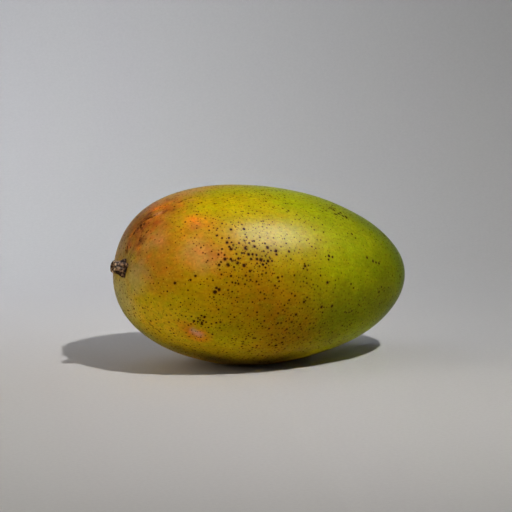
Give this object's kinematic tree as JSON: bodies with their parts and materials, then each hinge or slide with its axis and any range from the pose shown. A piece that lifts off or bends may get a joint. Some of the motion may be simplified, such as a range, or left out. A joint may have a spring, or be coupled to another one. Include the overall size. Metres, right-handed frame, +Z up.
{
  "type": "mango",
  "caption": "Whole ripe mango lying on its side: egg-shaped fruit with a blunt stem end, a tapered apex and a short dry stem stub, resting on a small flat spot.",
  "frame": {"origin": "in the small flat spot that the fruit rests on, under its centre of mass", "axes": "+Z up from the surface it lies on, -X towards the stem end, +X towards the apex"},
  "size_m": [0.1417, 0.086, 0.078],
  "materials": {
    "skin": "smooth waxy fruit skin, ochre and yellow-olive turning green to the apex, with dark lenticels",
    "bark": "dry ridged bark, matt, with a pale cut tip"
  },
  "bodies": {
    "root": {"mango_fruit": "skin", "stem_stub": "bark"}
  },
  "joints": []
}
